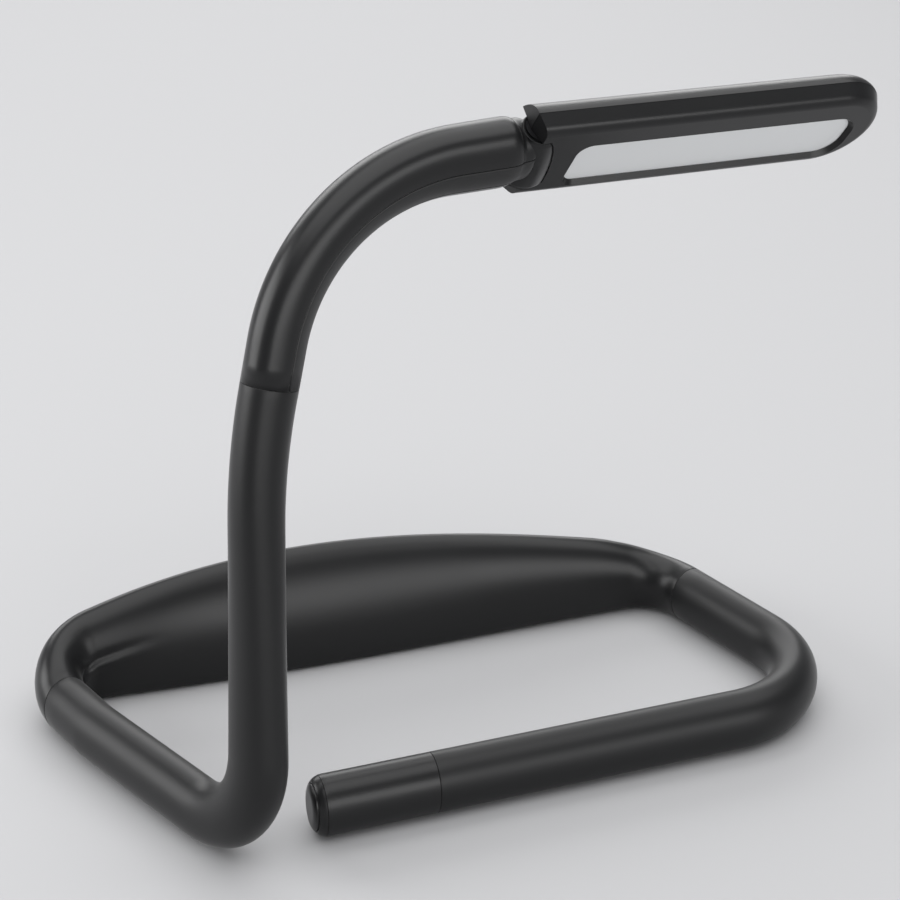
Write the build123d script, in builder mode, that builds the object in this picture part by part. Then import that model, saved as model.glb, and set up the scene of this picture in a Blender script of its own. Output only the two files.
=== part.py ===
from build123d import *
from math import cos, hypot, pi, radians, sin, sqrt
import os

# A neck reading light bent into a desk stand. Millimetres, +Z up, the table at Z = 0.
# The loop lies on the table, the wide band is at the back, and the lamp rises at the left.
# The origin is on the table in the middle of the loop.

os.makedirs("parts", exist_ok=True)

# Soft tube, an oval that stands upright wherever it lies on the table
tube_height = 18.0
tube_width = 14.6
soft_gap = 0.3
core_diameter = 7.0
core_bore = 4.4
core_gap = 0.2
core_grip = 6.0

# Line of the loop, seen from above
left_seam = (-101.0, 22.2)
left_bend = (-96.2, 4.4)
left_bend_radius = 30.0
foot = (-69.2, -69.5)
foot_radius = 24.8
right_seam = (101.0, 19.4)
right_corner = (118.8, -55.4)
right_corner_radius = 31.3
tail_seam_x = -15.3

# Line of the riser and of the rigid arm above it
riser_point = (-62.5, -57.1, 114.9)
riser_radius = 170.0
riser_over = 20.0
riser_count = 6
arm_point = (-44.3, -46.3, 182.0)
arm_radius = 53.5
hinge_point = (17.8, -39.4, 182.5)
arm_roll = 41.9

# Neck band
band_left = (-105.9, 40.6)
band_left_radius = 13.0
band_right = (97.4, 34.5)
band_right_radius = 18.0
band_rise = 20.5
band_thin = 1.6
band_lean = 15.0
band_skew = 0.8
skin_wall = 1.3
case_gap = 0.1
case_reach = 0.14
case_end_gap = 0.003

# Things inside the band
cell_length = 52.0
cell_height = 18.0
cell_thick = 4.6
cell_round = 1.6
cell_offset = -12.0
board_length = 34.0
board_height = 15.0
board_thick = 1.0
board_offset = 40.0
pocket_gap = 0.25
chip_height = 1.3
chip_room = 1.7

# Rigid arm
arm_end_width = 23.0
arm_end_thick = 16.6
arm_wall = 1.7
arm_count = 12
tongue_count = 8
hollow_end = 0.86
cover_width = 8.0
cover_gap = 0.12
plug_flange = 4.0
plug_spigot = 10.0
plug_wall = 1.5
seat_gap = 0.15

# Hinge: a barrel on the arm's end turns between two ears of the head
barrel_low_radius = 6.9
barrel_mid_radius = 6.4
barrel_high_radius = 4.9
barrel_half = 8.7
tongue_thick = 12.4
tongue_start = 13.0
tongue_reach = 7.0
notch_gap = 0.3
pin_diameter = 3.0
pin_play = 0.04
pin_length = 29.4
bush_wall = 1.0
washer_thick = 0.5
washer_diameter = 8.0
washer_gap = 0.14
head_droop = 2.97
lip_angle = 60.0

# Lamp head, measured from the hinge axis
head_length = 105.0
head_width = 32.0
dome_height = 8.3
face_depth = 5.0
face_half = 14.1
edge_round = 3.0
ear_end = 2.85
ear_face_end = 1.3
head_wall = 1.4
block_length = 9.5
parting_gap = 0.12

# Window in the face, off the middle towards the lower edge
window_start = 10.9
window_end = 96.8
window_width = 18.2
window_shift = -3.0
window_slope = 1.0
window_near_round = 4.2
window_far_round = 7.2
face_plate = 1.3
diffuser_thick = 1.4
diffuser_lap = 1.0
diffuser_gap = 0.15
guide_thick = 1.6
led_board_thick = 1.0
led_count = 12
led_size = 2.4
led_height = 0.7
led_margin = 7.0
screw_count = 3
screw_thread = 1.6
screw_head = 3.0
screw_gap = 0.05
screw_length = 5.0
boss_diameter = 4.4

# Tail: cap, button ring and push button
cap_length = 35.6
cap_round = 4.5
cap_wall = 1.6
ring_groove = 3.3
button_proud = 1.2
groove_gap = 0.15
button_gap = 0.2
button_travel = 0.7
ring_lip = 0.35
stem_diameter = 3.0
collar_diameter = 5.0
collar_thick = 0.8
plunger_diameter = 1.8
plunger_length = 2.0
switch_high = 3.6
switch_wide = 6.0
switch_deep = 3.0
charge_board_room = 14.6
charge_board_width = 9.6
charge_board_thick = 1.0
port_width = 9.0
port_height = 3.2
port_depth = 6.6
port_wall = 0.3
port_gap = 0.2
port_recess = 1.0
port_tongue_width = 6.7
port_tongue_thick = 0.7
port_tongue_back = 1.2
port_from_seam = 13.0

# Sizes that follow from the ones above
half_high = tube_height / 2
half_wide = tube_width / 2
up = Vector(0, 0, 1)


def on_table(point):
    """A point of the loop's centre line, half the tube's height above the table."""
    return Vector(point[0], point[1], half_high)


def square_to(direction, along):
    """The part of a direction that is square to a line's tangent, one unit long."""
    return (direction - along * direction.dot(along)).normalized()


def blend(share):
    """Smooth growth from 0 to 1."""
    share = min(max(share, 0.0), 1.0)
    return share * share * (3 - 2 * share)


# Directions of the riser, the rigid arm and the hinge
riser_vertex = Vector(riser_point)
arm_vertex = Vector(arm_point)
hinge = Vector(hinge_point)
arm_base_way = (arm_vertex - riser_vertex).normalized()
arm_end_way = (hinge - arm_vertex).normalized()
arm_seam = riser_vertex + arm_base_way * riser_over
arm_side = arm_end_way.cross(arm_base_way).normalized()


def arm_down(tangent):
    """Direction that the arm's inner cover faces, at a tangent of the arm's line."""
    hollow_way = tangent.cross(arm_side).normalized()
    return hollow_way * cos(radians(arm_roll)) + arm_side * sin(radians(arm_roll))


bush_outer = pin_diameter + 2 * pin_play + 2 * bush_wall
hinge_way = arm_down(arm_end_way).cross(arm_end_way).normalized()
head_way = arm_end_way * cos(radians(head_droop)) + arm_down(arm_end_way) * sin(radians(head_droop))
head_down = head_way.cross(hinge_way)
head_plane = Plane(origin=hinge, x_dir=head_way, z_dir=head_down)
arm_end_plane = Plane(origin=hinge, x_dir=arm_end_way, z_dir=arm_down(arm_end_way))


def head_spot(along, across=0.0, down=0.0):
    """A point of the lamp head, measured from the middle of the hinge axis."""
    return hinge + head_way * along + hinge_way * across + head_down * down


def head_slice(along):
    """The plane square to the head's length, with x across it and y down through it."""
    return Plane(origin=head_spot(along), x_dir=hinge_way, z_dir=head_way)


def head_side(across=0.0):
    """The plane along the head's side, with x along it and y down through it."""
    return Plane(origin=head_spot(0, across), x_dir=head_way, z_dir=-hinge_way)


# Centre lines
lamp_points = [
    on_table(left_seam),
    on_table(left_bend),
    on_table(foot),
    riser_vertex,
    arm_seam,
]
lamp_line = FilletPolyline(*lamp_points, radius=[left_bend_radius, foot_radius, riser_radius])
tail_points = [on_table(right_seam), on_table(right_corner), Vector(tail_seam_x, right_corner[1], half_high)]
tail_line = FilletPolyline(*tail_points, radius=right_corner_radius)
arm_line = FilletPolyline(arm_seam, arm_vertex, hinge, radius=arm_radius)
band_points = [on_table(left_seam), on_table(band_left), on_table(band_right), on_table(right_seam)]
band_line = FilletPolyline(*band_points, radius=[band_left_radius, band_right_radius])

run_way = (lamp_points[2] - lamp_points[1]).normalized()
foot_side = run_way.cross(up).normalized()
foot_edges = [edge for edge in lamp_line.edges() if edge.center().Z < half_high + foot_radius]
foot_line = Wire(foot_edges)
riser_start = sum(edge.length for edge in foot_edges) / lamp_line.length
seam_across = -arm_down(arm_base_way).cross(arm_base_way)


def riser_tube_plane(share):
    """Plane across the riser, facing down. Its x is the oval's long axis, which turns on the way up."""
    place = riser_start + (1 - riser_start) * share
    tangent = (lamp_line % place).normalized()
    start = foot_side.cross(tangent)
    turned = start * (1 - share) + seam_across * share
    return Plane(origin=lamp_line @ place, x_dir=square_to(turned, tangent), z_dir=-tangent)


def arm_tube_plane(share):
    """Plane across the rigid arm, with x along its wider axis and y to the inner cover."""
    tangent = (arm_line % share).normalized()
    down = arm_down(tangent)
    return Plane(origin=arm_line @ share, x_dir=down.cross(tangent), z_dir=tangent)


def band_shape(share):
    """Half height, half thickness and lean of the band at a share of its length."""
    swell = sin(pi * share**band_skew)
    tall = half_high + band_rise / 2 * swell
    thick = half_wide - band_thin / 2 * swell
    return tall, thick, radians(band_lean) * swell


def band_plane(share):
    """Plane across the band, with x up along its lean and its lowest point on the table."""
    tall, thick, lean = band_shape(share)
    tangent = (band_line % share).normalized()
    outward = up.cross(tangent).normalized()
    rise = up * cos(lean) + outward * sin(lean)
    place = band_line @ share
    centre = Vector(place.X, place.Y, hypot(tall * cos(lean), thick * sin(lean)))
    return Plane(origin=centre, x_dir=rise, z_dir=tangent)


def share_steps(first, last, count):
    """Evenly spaced shares of a line."""
    return [first + (last - first) * step / count for step in range(count + 1)]


def band_solid(inset, first, last, count):
    """The band's form between two shares of its length, drawn in by an inset."""
    with BuildPart() as form:
        for share in share_steps(first, last, count):
            tall, thick, lean = band_shape(share)
            with BuildSketch(band_plane(share)):
                Ellipse(tall - inset, thick - inset)
        loft()
    return form.part


def tube_bore(line, diameter, reach_start, reach_end):
    """A round bar along a centre line, run on straight at both ends."""
    start_way = (line % 0).normalized()
    end_way = (line % 1).normalized()
    with BuildPart() as bar:
        with BuildSketch(Plane(origin=line @ 0, z_dir=start_way)):
            Circle(diameter / 2)
        sweep(path=line)
        if reach_start > 0:
            with BuildSketch(Plane(origin=line @ 0, z_dir=-start_way)):
                Circle(diameter / 2)
            extrude(amount=reach_start)
        if reach_end > 0:
            with BuildSketch(Plane(origin=line @ 1, z_dir=end_way)):
                Circle(diameter / 2)
            extrude(amount=reach_end)
    return bar.part


# Lamp-side silicone tube, from the band to the rigid arm
core_hole = core_diameter + 2 * core_gap
plug_diameter = core_hole + 2 * plug_wall
plug_hole = plug_diameter + 2 * core_gap
lamp_core_bore = tube_bore(lamp_line, core_hole, 0, 0)
lamp_end = riser_tube_plane(1.0)
with BuildPart() as lamp_arm_sleeve:
    with BuildSketch(Plane(origin=lamp_line @ 0, x_dir=up, z_dir=lamp_line % 0)):
        Ellipse(half_high, half_wide)
    sweep(path=foot_line)
    for share in share_steps(0.0, 1.0, riser_count):
        with BuildSketch(riser_tube_plane(share)):
            Ellipse(half_high, half_wide)
    loft()
    add(lamp_core_bore, mode=Mode.SUBTRACT)
    with BuildSketch(lamp_end):
        Circle(plug_hole / 2)
    extrude(amount=plug_spigot + soft_gap, mode=Mode.SUBTRACT)
    with BuildSketch(lamp_end):
        Circle(tube_height)
    extrude(amount=soft_gap, mode=Mode.SUBTRACT)
lamp_arm_sleeve.part.label = "lamp_arm_sleeve"
export_step(lamp_arm_sleeve.part, "parts/lamp_arm_sleeve.step")

# Bendable core of the lamp-side tube: a metal gooseneck hose with the leads' bore
lamp_core_rod = tube_bore(lamp_line, core_diameter, core_grip, 0)
lamp_core_hollow = tube_bore(lamp_line, core_bore, core_grip, 0)
with BuildPart() as lamp_arm_core:
    add(lamp_core_rod)
    add(lamp_core_hollow, mode=Mode.SUBTRACT)
lamp_arm_core.part.label = "lamp_arm_core"
export_step(lamp_arm_core.part, "parts/lamp_arm_core.step")

# Tail-side silicone tube
tail_start = Plane(origin=tail_line @ 0, x_dir=up, z_dir=tail_line % 0)
tail_end = Plane(origin=tail_line @ 1, x_dir=up, z_dir=tail_line % 1)
tail_core_bore = tube_bore(tail_line, core_hole, 0, 0)
with BuildPart() as tail_arm_sleeve:
    with BuildSketch(tail_start):
        Ellipse(half_high, half_wide)
    sweep(path=tail_line)
    add(tail_core_bore, mode=Mode.SUBTRACT)
    with BuildSketch(tail_end):
        Circle(plug_hole / 2)
    extrude(amount=-(plug_spigot + soft_gap), mode=Mode.SUBTRACT)
    with BuildSketch(tail_end):
        Circle(tube_height)
    extrude(amount=-soft_gap, mode=Mode.SUBTRACT)
tail_arm_sleeve.part.label = "tail_arm_sleeve"
export_step(tail_arm_sleeve.part, "parts/tail_arm_sleeve.step")

# Bendable core of the tail-side tube
tail_core_rod = tube_bore(tail_line, core_diameter, core_grip, 0)
tail_core_hollow = tube_bore(tail_line, core_bore, core_grip, 0)
with BuildPart() as tail_arm_core:
    add(tail_core_rod)
    add(tail_core_hollow, mode=Mode.SUBTRACT)
tail_arm_core.part.label = "tail_arm_core"
export_step(tail_arm_core.part, "parts/tail_arm_core.step")


def end_ferrule(line):
    """A crimped collar round a core's end, just inside the band."""
    start_way = (line % 0).normalized()
    with BuildPart() as collar:
        with BuildSketch(Plane(origin=line @ 0, z_dir=-start_way)):
            Circle(plug_diameter / 2 - core_gap)
            Circle(core_hole / 2 - core_gap / 2, mode=Mode.SUBTRACT)
        extrude(amount=core_grip)
    return collar.part


with BuildPart() as left_end_ferrule:
    add(end_ferrule(lamp_line))
left_end_ferrule.part.label = "left_end_ferrule"
export_step(left_end_ferrule.part, "parts/left_end_ferrule.step")

with BuildPart() as right_end_ferrule:
    add(end_ferrule(tail_line))
right_end_ferrule.part.label = "right_end_ferrule"
export_step(right_end_ferrule.part, "parts/right_end_ferrule.step")


def ferrule_socket(line):
    """The hole in the band's end that a ferrule sits in."""
    start_way = (line % 0).normalized()
    with BuildPart() as hole:
        with BuildSketch(Plane(origin=line @ 0, z_dir=-start_way)):
            Circle(plug_diameter / 2)
        extrude(amount=core_grip + core_gap)
        with BuildSketch(Plane(origin=line @ 0, z_dir=start_way)):
            Circle(tube_height)
        extrude(amount=core_gap)
    return hole.part


# Band: one soft skin over a stiff case in two halves
band_case_form = band_solid(skin_wall, case_reach, 1 - case_reach, 12)
with BuildPart() as band_skin:
    add(band_solid(0, 0.0, 1.0, 16))
    add(band_case_form, mode=Mode.SUBTRACT)
    add(ferrule_socket(lamp_line), mode=Mode.SUBTRACT)
    add(ferrule_socket(tail_line), mode=Mode.SUBTRACT)
band_skin.part.label = "band_skin"
export_step(band_skin.part, "parts/band_skin.step")

# The inner parts lie in the straight back run, on the band's own lean in its middle
band_run_way = (on_table(band_right) - on_table(band_left)).normalized()
middle = band_plane(0.5)
core_plane = Plane(origin=middle.origin, x_dir=band_run_way, z_dir=-middle.y_dir)


def band_box(length, height, depth, offset, gap):
    """A box in the band's middle, with a gap all round."""
    with BuildPart(core_plane) as block:
        with Locations((offset, 0, 0)):
            Box(length + 2 * gap, height + 2 * gap, depth + 2 * gap)
    return block.part


case_start = case_reach + case_end_gap
case_inner = band_solid(skin_wall + case_gap, case_start, 1 - case_start, 12)
cell_room = band_box(cell_length, cell_height, cell_thick, cell_offset, pocket_gap)
board_room = band_box(board_length, board_height, board_thick + 2 * chip_room, board_offset, pocket_gap)

with BuildPart() as band_front_case:
    add(case_inner)
    add(cell_room, mode=Mode.SUBTRACT)
    add(board_room, mode=Mode.SUBTRACT)
    split(bisect_by=core_plane.offset(case_gap / 2), keep=Keep.TOP)
band_front_case.part.label = "band_front_case"
export_step(band_front_case.part, "parts/band_front_case.step")

with BuildPart() as band_back_case:
    add(case_inner)
    add(cell_room, mode=Mode.SUBTRACT)
    add(board_room, mode=Mode.SUBTRACT)
    split(bisect_by=core_plane.offset(-case_gap / 2), keep=Keep.BOTTOM)
band_back_case.part.label = "band_back_case"
export_step(band_back_case.part, "parts/band_back_case.step")

with BuildPart(core_plane) as battery_cell:
    with Locations((cell_offset, 0, 0)):
        Box(cell_length, cell_height, cell_thick)
    fillet(battery_cell.edges().filter_by(Axis(middle.origin, band_run_way)), cell_round)
battery_cell.part.label = "battery_cell"
export_step(battery_cell.part, "parts/battery_cell.step")

with BuildPart(core_plane) as control_board:
    with Locations((board_offset, 0, 0)):
        Box(board_length, board_height, board_thick)
    with Locations((board_offset - board_length / 4, 0, board_thick / 2)):
        Box(board_length / 6, board_height / 3, chip_height, align=(Align.CENTER, Align.CENTER, Align.MIN))
    with Locations((board_offset + board_length / 5, 0, board_thick / 2)):
        Box(board_length / 8, board_height / 2, chip_height, align=(Align.CENTER, Align.CENTER, Align.MIN))
control_board.part.label = "control_board"
export_step(control_board.part, "parts/control_board.step")

# Rigid arm: outer shell and inner cover, hollow, with the hinge barrel at its end


def arm_halves(share):
    """Half width and half thickness of the arm, which swells and then narrows to the hinge's tongue."""
    growth = blend(share)
    left = arm_line.length * (1 - share)
    narrow = blend((tongue_start - left) / (tongue_start - tongue_reach))
    wide = half_high + (arm_end_width / 2 - half_high) * growth
    thick = half_wide + (arm_end_thick / 2 - half_wide) * growth
    return wide + (barrel_half - wide) * narrow, thick + (tongue_thick / 2 - thick) * narrow


tongue_share = 1 - tongue_start / arm_line.length
arm_shares = share_steps(0.0, tongue_share, arm_count) + share_steps(tongue_share, 1.0, tongue_count)[1:]


def arm_solid(inset):
    """The arm's form along its whole line, drawn in by an inset."""
    with BuildPart() as form:
        for share in arm_shares:
            wide, thick = arm_halves(share)
            with BuildSketch(arm_tube_plane(share)):
                Ellipse(wide - inset, thick - inset)
        loft()
    return form.part


def barrel(extra):
    """The rounded barrel about the hinge axis, or the space that it turns in."""
    plane = Plane(origin=hinge, x_dir=arm_end_way, z_dir=arm_down(arm_end_way))
    half = barrel_half + extra
    with BuildPart() as body:
        with BuildSketch(plane):
            with BuildLine():
                Polyline((0, half), (0, -half), (barrel_low_radius + extra, -half))
                ThreePointArc(
                    (barrel_low_radius + extra, -half),
                    (barrel_mid_radius + extra, 0),
                    (barrel_high_radius + extra, half),
                )
                Line((barrel_high_radius + extra, half), (0, half))
            make_face()
        revolve(axis=Axis(hinge, hinge_way))
    return body.part


ear_sweep = dome_height + notch_gap
with BuildPart() as arm_form:
    add(arm_solid(0))
    with BuildSketch(arm_end_plane.offset(-tube_height)):
        with Locations((-ear_sweep / 2, 0)):
            Rectangle(ear_sweep, 4 * barrel_half)
            Rectangle(ear_sweep, 2 * barrel_half, mode=Mode.SUBTRACT)
    extrude(amount=2 * tube_height, mode=Mode.SUBTRACT)
    add(barrel(0))
    with BuildSketch(Plane(origin=hinge, z_dir=hinge_way)):
        Circle(bush_outer / 2)
    extrude(amount=2 * barrel_half, both=True, mode=Mode.SUBTRACT)

with BuildPart() as arm_hollow:
    for share in share_steps(0.0, hollow_end, arm_count):
        wide, thick = arm_halves(share)
        with BuildSketch(arm_tube_plane(share)):
            Ellipse(wide - arm_wall, thick - arm_wall)
    loft()

with BuildPart() as cover_cutter:
    with BuildSketch(arm_tube_plane(0.0)):
        with Locations((0, tube_height)):
            Rectangle(cover_width, 2 * tube_height - half_wide)
    sweep(path=arm_line)

with BuildPart() as cover_slot:
    with BuildSketch(arm_tube_plane(0.0)):
        with Locations((0, tube_height)):
            Rectangle(cover_width + 2 * cover_gap, 2 * tube_height - half_wide + 2 * cover_gap)
    sweep(path=arm_line)

with BuildPart() as arm_outer_shell:
    add(arm_form.part)
    add(arm_hollow.part, mode=Mode.SUBTRACT)
    add(cover_slot.part, mode=Mode.SUBTRACT)
arm_outer_shell.part.label = "arm_outer_shell"
export_step(arm_outer_shell.part, "parts/arm_outer_shell.step")

with BuildPart() as arm_inner_cover:
    add(arm_form.part)
    add(arm_hollow.part, mode=Mode.SUBTRACT)
    add(cover_cutter.part, mode=Mode.INTERSECT)
arm_inner_cover.part.label = "arm_inner_cover"
export_step(arm_inner_cover.part, "parts/arm_inner_cover.step")


def end_plug(place, long_half, short_half):
    """A plug whose flange sits in a shell and whose spigot holds a core's end."""
    with BuildPart() as plug:
        with BuildSketch(place):
            Ellipse(long_half, short_half)
        extrude(amount=plug_flange)
        with BuildSketch(place):
            Circle(plug_diameter / 2)
        extrude(amount=-plug_spigot)
        with BuildSketch(place):
            Circle(core_hole / 2)
        extrude(amount=-plug_spigot, mode=Mode.SUBTRACT)
        with BuildSketch(place):
            Circle(core_bore / 2)
        extrude(amount=plug_flange, mode=Mode.SUBTRACT)
    return plug.part


plug_long = half_high - arm_wall - seat_gap
plug_short = half_wide - arm_wall - seat_gap
with BuildPart() as arm_plug:
    add(end_plug(arm_tube_plane(0.0), plug_long, plug_short))
arm_plug.part.label = "arm_plug"
export_step(arm_plug.part, "parts/arm_plug.step")

# Hinge pin, bush and washers
with BuildPart() as hinge_pin:
    with BuildSketch(Plane(origin=hinge, z_dir=hinge_way)):
        Circle(pin_diameter / 2)
    extrude(amount=pin_length / 2, both=True)
hinge_pin.part.label = "hinge_pin"
export_step(hinge_pin.part, "parts/hinge_pin.step")

with BuildPart() as hinge_bush:
    with BuildSketch(Plane(origin=hinge, z_dir=hinge_way)):
        Circle(bush_outer / 2 - pin_play)
        Circle(pin_diameter / 2 + pin_play, mode=Mode.SUBTRACT)
    extrude(amount=barrel_half, both=True)
hinge_bush.part.label = "hinge_bush"
export_step(hinge_bush.part, "parts/hinge_bush.step")

washer_start = barrel_half + washer_gap
ear_inner = washer_start + washer_thick + washer_gap
with BuildPart() as hinge_washers:
    for side in (1, -1):
        with BuildSketch(Plane(origin=hinge + hinge_way * washer_start * side, z_dir=hinge_way * side)):
            Circle(washer_diameter / 2)
            Circle(pin_diameter / 2 + pin_play, mode=Mode.SUBTRACT)
        extrude(amount=washer_thick)
hinge_washers.part.label = "hinge_washers"
export_step(hinge_washers.part, "parts/hinge_washers.step")

# Lamp head
tip_centre = head_length - head_width / 2


def head_solid(inset, face_inset, start):
    """The head's closed form from a place on its length, drawn in by a wall and a face wall."""
    half = head_width / 2 - inset
    dome = dome_height - inset
    face = face_depth - face_inset
    base = face_half - inset
    rounding = edge_round - inset
    with BuildPart() as form:
        with BuildSketch(head_slice(start)) as section:
            with BuildLine():
                EllipticalCenterArc((0, 0), half, dome, start_angle=180, arc_size=180)
                Polyline((half, 0), (base, face), (-base, face), (-half, 0))
            make_face()
            fillet(section.vertices().group_by(Axis.Y)[-1], rounding)
        extrude(amount=tip_centre - start)
        with BuildSketch(head_slice(tip_centre)) as half_section:
            with BuildLine():
                EllipticalCenterArc((0, 0), half, dome, start_angle=180, arc_size=90)
                Polyline((0, -dome), (0, face), (-base, face), (-half, 0))
            make_face()
            fillet(half_section.vertices().group_by(Axis.Y)[-1].sort_by(Axis.X)[0], rounding)
        revolve(axis=Axis(head_spot(tip_centre), head_down), revolution_arc=180)
    return form.part


reach = 3 * dome_height
with BuildPart() as head_form:
    add(head_solid(0, 0, -2 * ear_end))
    # Slanted ends of the ears, seen from the side
    with BuildSketch(head_side()):
        with BuildLine():
            Polyline(
                (-ear_face_end, face_depth),
                (-ear_end, 0),
                (-ear_end, -reach),
                (-reach, -reach),
                (-reach, reach),
                (-ear_face_end, reach),
                (-ear_face_end, face_depth),
            )
        make_face()
    extrude(amount=head_width, both=True, mode=Mode.SUBTRACT)
    # Space that the arm's barrel turns in, open to the arm
    add(barrel(notch_gap), mode=Mode.SUBTRACT)
    with BuildSketch(head_side()):
        with BuildLine():
            Polyline(
                (0, 0),
                (reach * cos(radians(lip_angle)), -reach * sin(radians(lip_angle))),
                (-reach, -reach),
                (-reach, reach),
                (0, reach),
                (0, 0),
            )
        make_face()
    extrude(amount=ear_inner, both=True, mode=Mode.SUBTRACT)
    with BuildSketch(head_side()):
        Circle(barrel_high_radius + notch_gap)
    extrude(amount=ear_inner, both=True, mode=Mode.SUBTRACT)
    # Bearing holes for the pin, half in each cover
    with BuildSketch(head_side()):
        Circle(pin_diameter / 2 + pin_play)
    extrude(amount=pin_length / 2 + pin_play, both=True, mode=Mode.SUBTRACT)

head_room = head_solid(head_wall, face_plate, block_length)
face_inner = face_depth - face_plate

window_mid = (window_start + window_end) / 2
window_length = window_end - window_start


def window_face(grow, down):
    """The window's outline, grown all round, at a depth of the head."""
    half_long = window_length / 2 + grow
    with BuildSketch(head_plane.offset(down)) as face:
        with Locations((window_mid, window_shift)):
            Rectangle(2 * half_long, window_width + 2 * grow)
        fillet(face.vertices().group_by(Axis.X)[0], window_near_round + grow)
        fillet(face.vertices().group_by(Axis.X)[-1], window_far_round + grow)
    return face.sketch


with BuildPart() as head_bezel:
    add(head_form.part)
    split(bisect_by=head_plane.offset(parting_gap / 2), keep=Keep.TOP)
    add(head_room, mode=Mode.SUBTRACT)
    loft([window_face(0, face_depth), window_face(-window_slope, face_inner)], mode=Mode.SUBTRACT)
head_bezel.part.label = "head_bezel"
export_step(head_bezel.part, "parts/head_bezel.step")


def window_plate(grow, top, thick):
    """A plate in the window's shape, grown all round, from a depth towards the dome."""
    with BuildPart() as plate:
        extrude(window_face(grow - window_slope, top), amount=-thick)
    return plate.part


with BuildPart() as light_diffuser:
    add(window_plate(diffuser_lap, face_inner - diffuser_gap, diffuser_thick))
light_diffuser.part.label = "light_diffuser"
export_step(light_diffuser.part, "parts/light_diffuser.step")

guide_top = face_inner - diffuser_gap - diffuser_thick - diffuser_gap
with BuildPart() as light_guide:
    add(window_plate(diffuser_lap, guide_top, guide_thick))
light_guide.part.label = "light_guide"
export_step(light_guide.part, "parts/light_guide.step")

# Board with its lamps, screwed to bosses under the dome
lamp_top = guide_top - guide_thick - diffuser_gap
led_plane = lamp_top - led_height
board_span = window_length - 2 * led_margin
screw_step = (board_span - screw_head) / (screw_count - 1)
with BuildPart() as led_board:
    with BuildSketch(head_plane.offset(led_plane)):
        with Locations((window_mid, window_shift)):
            SlotOverall(board_span + screw_head, window_width / 2)
            with GridLocations(screw_step, 0, screw_count, 1):
                Circle(screw_thread / 2 + screw_gap, mode=Mode.SUBTRACT)
    extrude(amount=-led_board_thick)
led_board.part.label = "led_board"
export_step(led_board.part, "parts/led_board.step")

with BuildPart() as head_back_cover:
    add(head_form.part)
    split(bisect_by=head_plane.offset(-parting_gap / 2), keep=Keep.BOTTOM)
    add(head_room, mode=Mode.SUBTRACT)
    with BuildSketch(head_plane.offset(led_plane - led_board_thick)):
        with Locations((window_mid, window_shift)):
            with GridLocations(screw_step, 0, screw_count, 1):
                Circle(boss_diameter / 2)
    extrude(amount=-(dome_height - head_wall / 2 + led_plane - led_board_thick))
    with BuildSketch(head_plane.offset(led_plane - led_board_thick)):
        with Locations((window_mid, window_shift)):
            with GridLocations(screw_step, 0, screw_count, 1):
                Circle(screw_thread / 2 + screw_gap)
    extrude(amount=-screw_length, mode=Mode.SUBTRACT)
head_back_cover.part.label = "head_back_cover"
export_step(head_back_cover.part, "parts/head_back_cover.step")

with BuildPart() as leds:
    with BuildSketch(head_plane.offset(led_plane)):
        with Locations((window_mid, window_shift)):
            with GridLocations(board_span / (led_count + 1), 0, led_count, 1):
                Rectangle(led_size, led_size)
    extrude(amount=led_height)
leds.part.label = "leds"
export_step(leds.part, "parts/leds.step")

with BuildPart() as head_screws:
    with BuildSketch(head_plane.offset(led_plane)):
        with Locations((window_mid, window_shift)):
            with GridLocations(screw_step, 0, screw_count, 1):
                Circle(screw_head / 2)
    extrude(amount=led_height)
    with BuildSketch(head_plane.offset(led_plane)):
        with Locations((window_mid, window_shift)):
            with GridLocations(screw_step, 0, screw_count, 1):
                Circle(screw_thread / 2)
    extrude(amount=-screw_length)
head_screws.part.label = "head_screws"
export_step(head_screws.part, "parts/head_screws.step")

# Tail: the cap goes on along -X from the seam
seam_point = Vector(tail_seam_x, right_corner[1], half_high)
tail_way = (tail_line % 1).normalized()
port_way = tail_way.cross(up).normalized()


def tail_slice(along):
    """Plane across the tail at a distance from its seam, with x up."""
    return Plane(origin=seam_point + tail_way * along, x_dir=up, z_dir=tail_way)


def tail_form(first, last):
    """The cap's rounded outer form between two distances from the seam."""
    with BuildPart() as form:
        with BuildSketch(tail_slice(0)):
            Ellipse(half_high, half_wide)
        extrude(amount=cap_length)
        end_edge = form.edges().group_by(Axis(seam_point, tail_way))[-1]
        fillet(end_edge, cap_round)
        split(bisect_by=tail_slice(first), keep=Keep.TOP)
        split(bisect_by=tail_slice(last), keep=Keep.BOTTOM)
    return form.part


ring_start = cap_length - ring_groove
ring_end = cap_length - button_proud
end_inset = cap_round - sqrt(cap_round**2 - (cap_round - button_proud) ** 2)
ring_inset = end_inset + ring_lip
inner_long = half_high - cap_wall
inner_short = half_wide - cap_wall
inner_end = ring_start - cap_wall
stem_hole = stem_diameter + 2 * button_gap
port_plane = Plane(origin=seam_point + tail_way * port_from_seam, x_dir=tail_way, z_dir=port_way)
board_top = -switch_high / 2
port_centre = board_top + port_height / 2
port_mouth = half_wide - port_recess

with BuildPart() as tail_cap:
    add(tail_form(0, ring_start - groove_gap / 2))
    with BuildSketch(tail_slice(0)):
        Ellipse(inner_long, inner_short)
    extrude(amount=inner_end, mode=Mode.SUBTRACT)
    with BuildSketch(tail_slice(0)):
        Circle(stem_hole / 2)
    extrude(amount=cap_length, mode=Mode.SUBTRACT)
    with BuildSketch(port_plane):
        with Locations((0, -port_centre)):
            RectangleRounded(port_width + 2 * port_gap, port_height + 2 * port_gap, port_height / 2)
    extrude(amount=tube_width, mode=Mode.SUBTRACT)
tail_cap.part.label = "tail_cap"
export_step(tail_cap.part, "parts/tail_cap.step")

with BuildPart() as tail_plug:
    add(end_plug(tail_slice(0), inner_long - seat_gap, inner_short - seat_gap))
tail_plug.part.label = "tail_plug"
export_step(tail_plug.part, "parts/tail_plug.step")

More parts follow.
